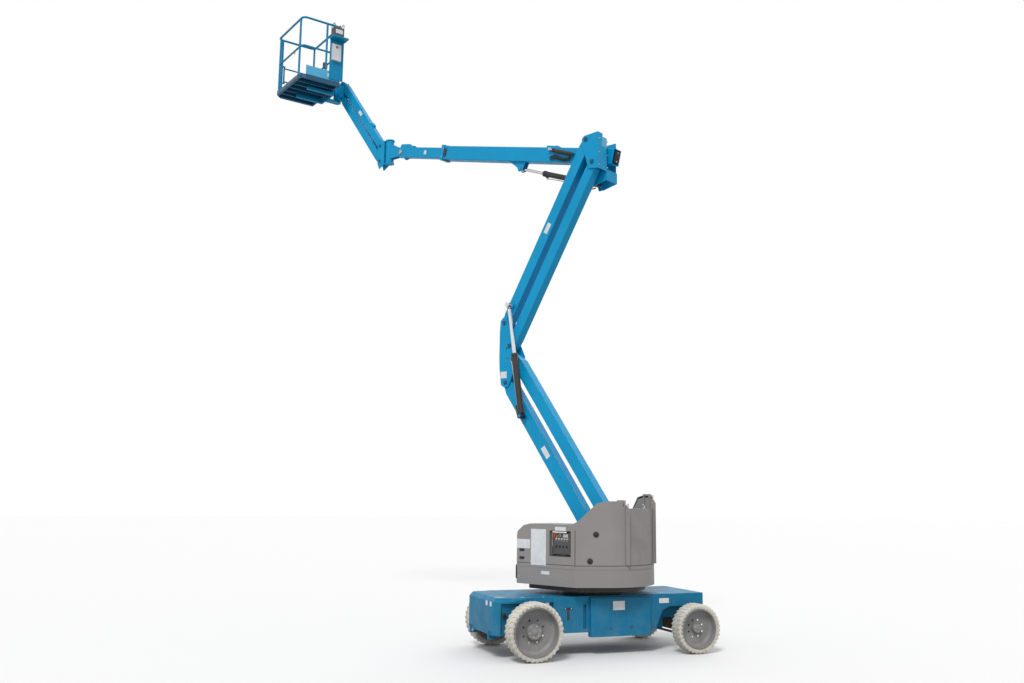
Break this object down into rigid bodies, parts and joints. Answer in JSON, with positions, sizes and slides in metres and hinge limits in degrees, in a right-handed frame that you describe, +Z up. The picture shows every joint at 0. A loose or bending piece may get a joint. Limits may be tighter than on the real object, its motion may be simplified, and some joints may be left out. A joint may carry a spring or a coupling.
{
  "type": "articulating boom lift",
  "caption": "Self-propelled articulating boom lift on four wheels with a two-stage riser linkage, telescopic main boom, rotating jib and a railed work platform.",
  "frame": {"origin": "centre of the bounding box in plan, on the ground under the wheels", "axes": "+Z up, +X towards the steered end of the chassis"},
  "size_m": [4.6835, 5.7355, 9.193],
  "materials": {
    "boom_blue": "gloss",
    "chassis_blue": "gloss",
    "cover_grey": "satin",
    "black_steel": "satin",
    "ballast_iron": "matte",
    "tail_iron": "satin",
    "tyre_rubber": "matte",
    "rim_grey": "satin",
    "rod_chrome": "polished",
    "rail_blue": "gloss",
    "box_plastic": "matte",
    "white_plastic": "satin",
    "lamp_red": "gloss"
  },
  "bodies": {
    "chassis": {"chassis_frame": "chassis_blue", "drive_axle": "black_steel", "steer_axle": "black_steel", "slew_ring": "black_steel"},
    "wheel_drive_r": {"tyre_drive_r": "tyre_rubber", "rim_drive_r": "rim_grey"},
    "wheel_drive_l": {"tyre_drive_l": "tyre_rubber", "rim_drive_l": "rim_grey"},
    "wheel_steer_r": {"tyre_steer_r": "tyre_rubber", "rim_steer_r": "rim_grey"},
    "wheel_steer_l": {"tyre_steer_l": "tyre_rubber", "rim_steer_l": "rim_grey"},
    "knuckle_r": {"steer_knuckle_r": "black_steel"},
    "knuckle_l": {"steer_knuckle_l": "black_steel"},
    "tie_rod": {"tie_rod": "black_steel"},
    "turntable": {"turntable_deck": "black_steel", "turntable_skirt": "cover_grey", "tower": "boom_blue", "counterweight": "tail_iron", "ballast_near": "ballast_iron", "ballast_far": "ballast_iron", "control_panel": "box_plastic"},
    "cover_near": {"cover_near": "cover_grey", "beacon": "lamp_red"},
    "cover_far": {"cover_far": "cover_grey"},
    "lower_arm": {"lower_arm": "boom_blue"},
    "lower_link": {"lower_link": "boom_blue"},
    "knee_link": {"knee_link": "boom_blue"},
    "upper_arm": {"upper_arm": "boom_blue"},
    "upper_link": {"upper_link": "boom_blue"},
    "riser_head": {"riser_head": "boom_blue"},
    "riser_barrel": {"riser_barrel": "black_steel"},
    "riser_rod": {"riser_rod": "rod_chrome"},
    "boom_tube": {"boom_tube": "boom_blue"},
    "boom_fly": {"boom_fly": "boom_blue"},
    "boom_barrel": {"boom_barrel": "black_steel"},
    "boom_rod": {"boom_rod": "rod_chrome"},
    "level_bracket": {"level_bracket": "boom_blue"},
    "jib_swivel": {"jib_swivel": "boom_blue"},
    "jib_arm": {"jib_arm": "boom_blue"},
    "jib_link": {"jib_link": "boom_blue"},
    "jib_barrel": {"jib_barrel": "black_steel"},
    "jib_rod": {"jib_rod": "rod_chrome"},
    "jib_head": {"jib_head": "boom_blue"},
    "platform": {"platform_mount": "rail_blue", "platform_floor": "rail_blue", "platform_rails": "rail_blue", "kick_panels": "boom_blue", "console_panel": "rail_blue", "control_box": "box_plastic", "document_box": "white_plastic"},
    "gate": {"gate": "rail_blue"}
  },
  "joints": [
    {"name": "spin_drive_r", "type": "hinge", "parent": "chassis", "child": "wheel_drive_r", "pos_m": [0.007, -2.779, 0.3175], "axis": [0, 1, 0], "continuous": true},
    {"name": "spin_drive_l", "type": "hinge", "parent": "chassis", "child": "wheel_drive_l", "pos_m": [0.007, -1.457, 0.3175], "axis": [0, 1, 0], "continuous": true},
    {"name": "steer", "type": "hinge", "parent": "chassis", "child": "knuckle_r", "pos_m": [2.037, -2.638, 0.2795], "axis": [0, 0, 1], "range_deg": [-30, 30]},
    {"name": "steer_l", "type": "hinge", "parent": "chassis", "child": "knuckle_l", "pos_m": [2.037, -1.598, 0.2795], "axis": [0, 0, 1], "range_deg": [-30, 30]},
    {"name": "tie_pivot", "type": "hinge", "parent": "knuckle_r", "child": "tie_rod", "pos_m": [1.917, -2.638, 0.205], "axis": [0, 0, 1], "range_deg": [-30, 30]},
    {"name": "spin_steer_r", "type": "hinge", "parent": "knuckle_r", "child": "wheel_steer_r", "pos_m": [2.037, -2.779, 0.2795], "axis": [0, 1, 0], "continuous": true},
    {"name": "spin_steer_l", "type": "hinge", "parent": "knuckle_l", "child": "wheel_steer_l", "pos_m": [2.037, -1.457, 0.2795], "axis": [0, 1, 0], "continuous": true},
    {"name": "slew", "type": "hinge", "parent": "chassis", "child": "turntable", "pos_m": [1.022, -2.118, 0.7], "axis": [0, 0, 1], "range_deg": [-295.5, 59.5]},
    {"name": "near_cover_lift", "type": "hinge", "parent": "turntable", "child": "cover_near", "pos_m": [0.76418, -2.25509, 1.722], "axis": [-0.4695, 0.8829, 0], "range_deg": [0, 55]},
    {"name": "far_cover_lift", "type": "hinge", "parent": "turntable", "child": "cover_far", "pos_m": [1.26216, -1.9903, 1.795], "axis": [0.4695, -0.8829, 0], "range_deg": [0, 55]},
    {"name": "secondary_lift", "type": "hinge", "parent": "turntable", "child": "lower_arm", "pos_m": [1.03547, -2.44155, 1.125], "axis": [0.8829, 0.4695, 0], "range_deg": [-54.4, 2]},
    {"name": "lower_link_pivot", "type": "hinge", "parent": "turntable", "child": "lower_link", "pos_m": [1.0965, -2.55633, 1.435], "axis": [0.8829, 0.4695, 0], "range_deg": [-54.4, 2]},
    {"name": "knee_pivot", "type": "hinge", "parent": "lower_arm", "child": "knee_link", "pos_m": [0.33312, -1.12061, 3.21467], "axis": [0.8829, 0.4695, 0], "range_deg": [-2, 54.4]},
    {"name": "upper_arm_pivot", "type": "hinge", "parent": "knee_link", "child": "upper_arm", "pos_m": [0.31903, -1.09412, 3.99967], "axis": [0.8829, 0.4695, 0], "range_deg": [-2.16, 58.75]},
    {"name": "upper_link_pivot", "type": "hinge", "parent": "knee_link", "child": "upper_link", "pos_m": [0.36223, -1.17535, 3.69167], "axis": [0.8829, 0.4695, 0], "range_deg": [-2.16, 58.75]},
    {"name": "riser_head_pivot", "type": "hinge", "parent": "upper_arm", "child": "riser_head", "pos_m": [0.93695, -2.25626, 6.19889], "axis": [0.8829, 0.4695, 0], "range_deg": [-58.75, 2.16]},
    {"name": "riser_barrel_pivot", "type": "hinge", "parent": "lower_arm", "child": "riser_barrel", "pos_m": [0.35941, -1.47253, 2.7634], "axis": [0.8829, 0.4695, 0], "range_deg": [-1.52, 41.14]},
    {"name": "riser_rod_slide", "type": "slide", "parent": "riser_barrel", "child": "riser_rod", "axis": [-0.0729, 0.137, 0.9879], "range_m": [-0.57989, 0.02142]},
    {"name": "main_lift", "type": "hinge", "parent": "riser_head", "child": "boom_tube", "pos_m": [1.14785, -2.14169, 6.054], "axis": [0.8829, 0.4695, 0], "range_deg": [-20.6, 58]},
    {"name": "boom_barrel_pivot", "type": "hinge", "parent": "riser_head", "child": "boom_barrel", "pos_m": [1.12438, -2.09754, 5.7], "axis": [0.8829, 0.4695, 0], "range_deg": [-18.24, 51.33]},
    {"name": "boom_rod_slide", "type": "slide", "parent": "boom_barrel", "child": "boom_rod", "axis": [-0.4391, 0.8258, 0.3539], "range_m": [-0.10688, 0.30074]},
    {"name": "boom_extend", "type": "slide", "parent": "boom_tube", "child": "boom_fly", "axis": [-0.4563, 0.8582, 0.2351], "range_m": [-0.65, 0.65]},
    {"name": "platform_level", "type": "hinge", "parent": "boom_fly", "child": "level_bracket", "pos_m": [-0.58612, 1.11944, 6.94754], "axis": [0.8829, 0.4695, 0], "range_deg": [-58, 20.6]},
    {"name": "jib_rotate", "type": "hinge", "parent": "level_bracket", "child": "jib_swivel", "pos_m": [-0.72986, 1.38977, 7.02161], "axis": [0, 0, 1], "range_deg": [-95, 85]},
    {"name": "jib_lift", "type": "hinge", "parent": "jib_swivel", "child": "jib_arm", "pos_m": [-0.817, 1.52395, 7.14411], "axis": [-0.8387, -0.5446, 0], "range_deg": [-5.8, 114.2]},
    {"name": "jib_link_pivot", "type": "hinge", "parent": "jib_swivel", "child": "jib_link", "pos_m": [-0.817, 1.52395, 6.89911], "axis": [-0.8387, -0.5446, 0], "range_deg": [-5.8, 114.2]},
    {"name": "jib_head_pivot", "type": "hinge", "parent": "jib_arm", "child": "jib_head", "pos_m": [-1.30349, 2.27308, 8.3826], "axis": [-0.8387, -0.5446, 0], "range_deg": [-114.2, 5.8]},
    {"name": "jib_barrel_pivot", "type": "hinge", "parent": "jib_swivel", "child": "jib_barrel", "pos_m": [-0.70464, 1.5272, 6.95285], "axis": [-0.8387, -0.5446, 0], "range_deg": [-5.06, 99.44]},
    {"name": "jib_rod_slide", "type": "slide", "parent": "jib_barrel", "child": "jib_rod", "axis": [-0.2858, 0.4401, 0.8512], "range_m": [-0.2871, 0.01468]},
    {"name": "platform_rotate", "type": "hinge", "parent": "jib_head", "child": "platform", "pos_m": [-1.39607, 2.41565, 8.2601], "axis": [0, 0, 1], "range_deg": [-160.9, 19.1]},
    {"name": "gate_swing", "type": "hinge", "parent": "platform", "child": "gate", "pos_m": [-2.23089, 2.71693, 8.7061], "axis": [0, 0, 1], "range_deg": [-80, 0]}
  ],
  "couplings": [
    {"joint": "steer_l", "follows": "steer", "ratio": 1},
    {"joint": "tie_pivot", "follows": "steer", "ratio": -1},
    {"joint": "lower_link_pivot", "follows": "secondary_lift", "ratio": 1},
    {"joint": "knee_pivot", "follows": "secondary_lift", "ratio": -1},
    {"joint": "upper_arm_pivot", "follows": "secondary_lift", "ratio": -1.08},
    {"joint": "upper_link_pivot", "follows": "secondary_lift", "ratio": -1.08},
    {"joint": "riser_head_pivot", "follows": "secondary_lift", "ratio": 1.08},
    {"joint": "riser_barrel_pivot", "follows": "secondary_lift", "ratio": -0.7561},
    {"joint": "riser_rod_slide", "follows": "secondary_lift", "m_per_rad": 0.61065},
    {"joint": "boom_barrel_pivot", "follows": "main_lift", "ratio": 0.88475},
    {"joint": "boom_rod_slide", "follows": "main_lift", "m_per_rad": 0.29699},
    {"joint": "platform_level", "follows": "main_lift", "ratio": -1},
    {"joint": "jib_link_pivot", "follows": "jib_lift", "ratio": 1},
    {"joint": "jib_head_pivot", "follows": "jib_lift", "ratio": -1},
    {"joint": "jib_barrel_pivot", "follows": "jib_lift", "ratio": 0.87069},
    {"joint": "jib_rod_slide", "follows": "jib_lift", "m_per_rad": -0.14399}
  ]
}
